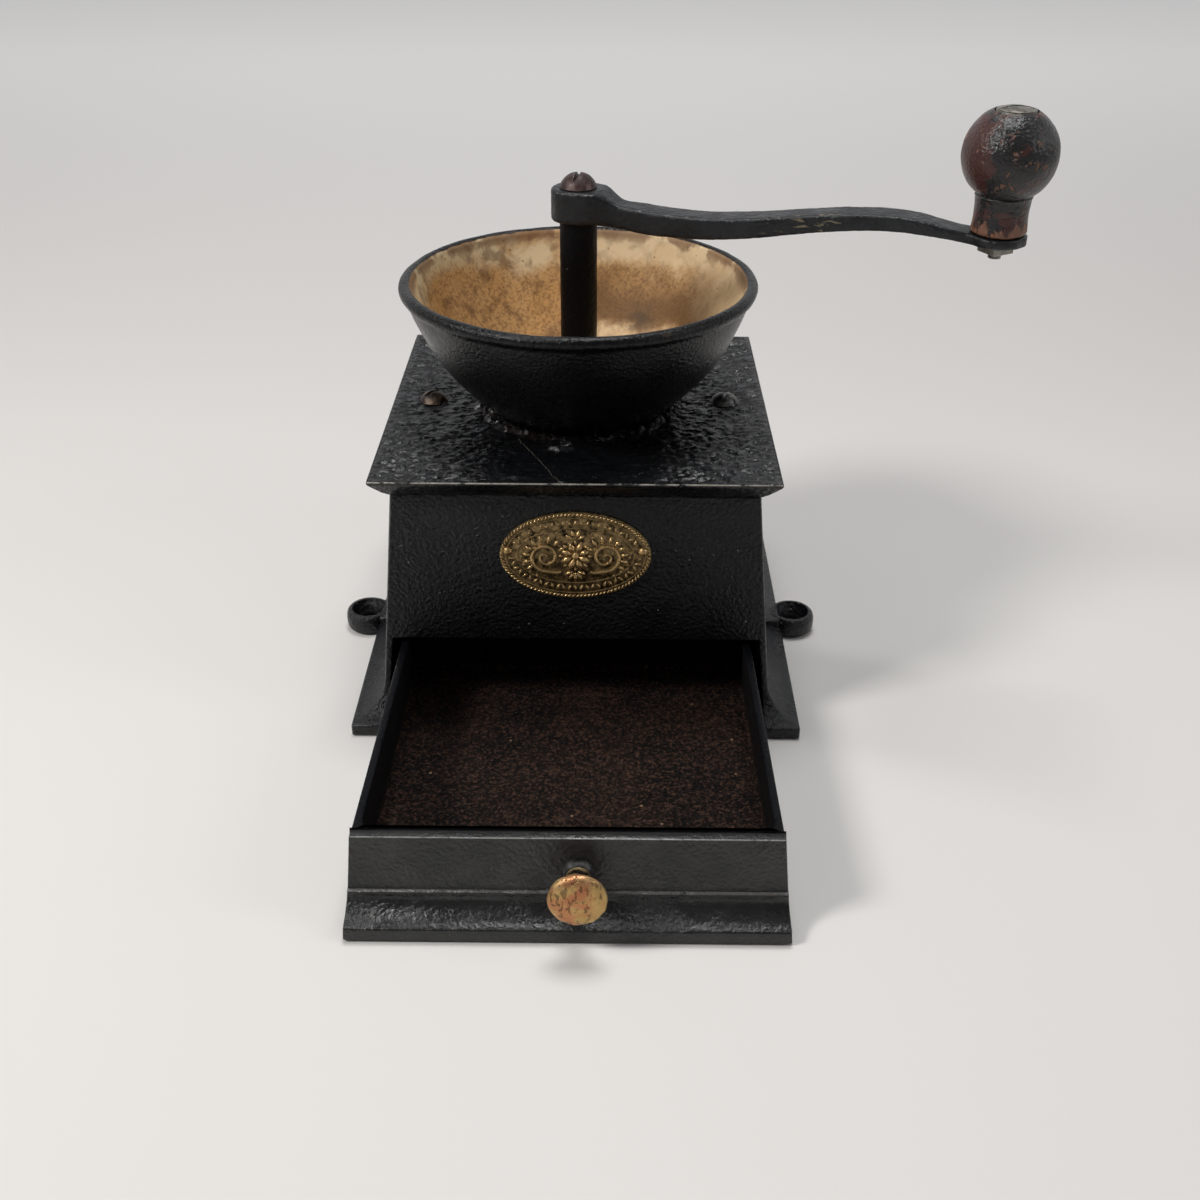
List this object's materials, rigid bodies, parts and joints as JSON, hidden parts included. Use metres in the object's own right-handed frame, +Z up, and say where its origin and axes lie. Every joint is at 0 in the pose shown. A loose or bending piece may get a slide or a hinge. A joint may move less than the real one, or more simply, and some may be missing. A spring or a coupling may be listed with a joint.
{
  "type": "hand crank coffee grinder",
  "caption": "Antique cast-iron box coffee mill: tapered base with drawer, flat deck, open enamelled hopper bowl, upright spindle and S-curved top crank with turned wooden knob.",
  "frame": {"origin": "centre of the box's base, on the table it stands on", "axes": "+Z up along the spindle, +X to the right seen from the drawer's side, +Y to the back, away from the drawer"},
  "size_m": [0.227, 0.2503, 0.1965],
  "materials": {
    "japanned_iron": "semi-gloss black japan over rough cast iron",
    "bowl_enamelled_iron": "black outside, stained cream enamel inside",
    "crank_iron": "satin black, forged, worn on its edges",
    "bare_iron": "oiled, as cast and ground",
    "drawer_iron": "black outside, brown rust inside",
    "brown_screw_steel": "browned and rubbed",
    "grey_steel": "dull, plated",
    "plaque_brass": "aged, dark in its hollows",
    "pull_brass": "worn, coppery",
    "knob_wood": "dark lacquer worn through to red-brown wood"
  },
  "bodies": {
    "root": {"box_casting": "japanned_iron", "deck_plate": "japanned_iron", "deck_screws": "brown_screw_steel", "hopper_bowl": "bowl_enamelled_iron", "hopper_screws": "bare_iron", "burr_shell": "bare_iron", "bearing_bridge": "bare_iron", "bridge_screws": "grey_steel", "lock_nut": "grey_steel", "plaque": "plaque_brass", "plaque_rivets": "plaque_brass"},
    "step": {"footstep": "pull_brass"},
    "adjuster": {"adjusting_screw": "grey_steel"},
    "crank": {"spindle": "crank_iron", "burr_cone": "bare_iron", "burr_pin": "grey_steel", "crank_arm": "crank_iron", "crank_screw": "brown_screw_steel", "knob_bolt": "grey_steel", "knob_washer": "grey_steel", "knob_nut": "grey_steel"},
    "handle": {"crank_knob": "knob_wood"},
    "drawer": {"drawer": "drawer_iron", "drawer_pull": "pull_brass", "pull_stud": "bare_iron", "pull_nut": "bare_iron"}
  },
  "joints": [
    {"name": "burr_lift", "type": "slide", "parent": "root", "child": "step", "axis": [0, 0, 1], "range_m": [-0.00063, 0.00063]},
    {"name": "fineness_turn", "type": "hinge", "parent": "step", "child": "adjuster", "pos_m": [0, 0, 0.04], "axis": [0, 0, 1], "range_deg": [-181, 181]},
    {"name": "crank_turn", "type": "hinge", "parent": "step", "child": "crank", "pos_m": [0, 0, 0.12], "axis": [0, 0, 1], "continuous": true},
    {"name": "knob_spin", "type": "hinge", "parent": "crank", "child": "handle", "pos_m": [0.12528, -0.0383, 0.175], "axis": [0, 0, 1], "continuous": true},
    {"name": "drawer_slide", "type": "slide", "parent": "root", "child": "drawer", "axis": [0, -1, 0], "range_m": [-0.096, 0.018]}
  ],
  "couplings": [
    {"joint": "fineness_turn", "follows": "burr_lift", "rad_per_m": 5026.5}
  ]
}
